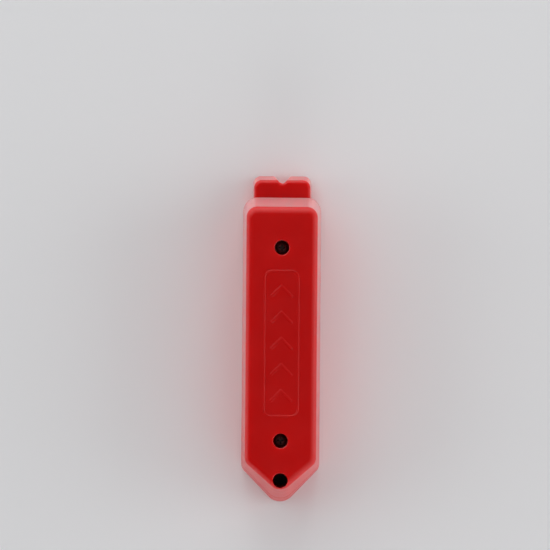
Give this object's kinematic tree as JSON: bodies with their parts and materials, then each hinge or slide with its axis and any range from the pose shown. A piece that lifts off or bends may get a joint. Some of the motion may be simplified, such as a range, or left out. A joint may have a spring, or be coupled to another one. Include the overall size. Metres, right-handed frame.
{
  "type": "magnetic stud finder",
  "caption": "Long drafted plastic body with a pointed nose, a hanging hole and a low V-notched ledge, built round block magnets that find nails in a wall and hold a nail on the ledge.",
  "frame": {"origin": "centre of the footprint on the wall: midway between nose tip and ledge end, on the centre plane, at the wall face", "axes": "+Y from the nose to the notched ledge, +Z out of the wall through the front face, +X to the right seen from the front"},
  "size_m": [0.0244, 0.1016, 0.0254],
  "materials": {
    "red_plastic": "semi-gloss moulded red plastic",
    "magnet_nickel": "bright nickel plating",
    "keeper_steel": "dull zinc-plated steel",
    "black_foam": "matt closed-cell foam",
    "black_screw": "black oxide, satin"
  },
  "bodies": {
    "root": {"front_housing": "red_plastic", "back_cover": "red_plastic", "finder_magnet": "magnet_nickel", "nail_magnet": "magnet_nickel", "finder_keeper": "keeper_steel", "nail_keeper": "keeper_steel", "magnet_pad": "black_foam", "upper_screw": "black_screw", "lower_screw": "black_screw"}
  },
  "joints": []
}
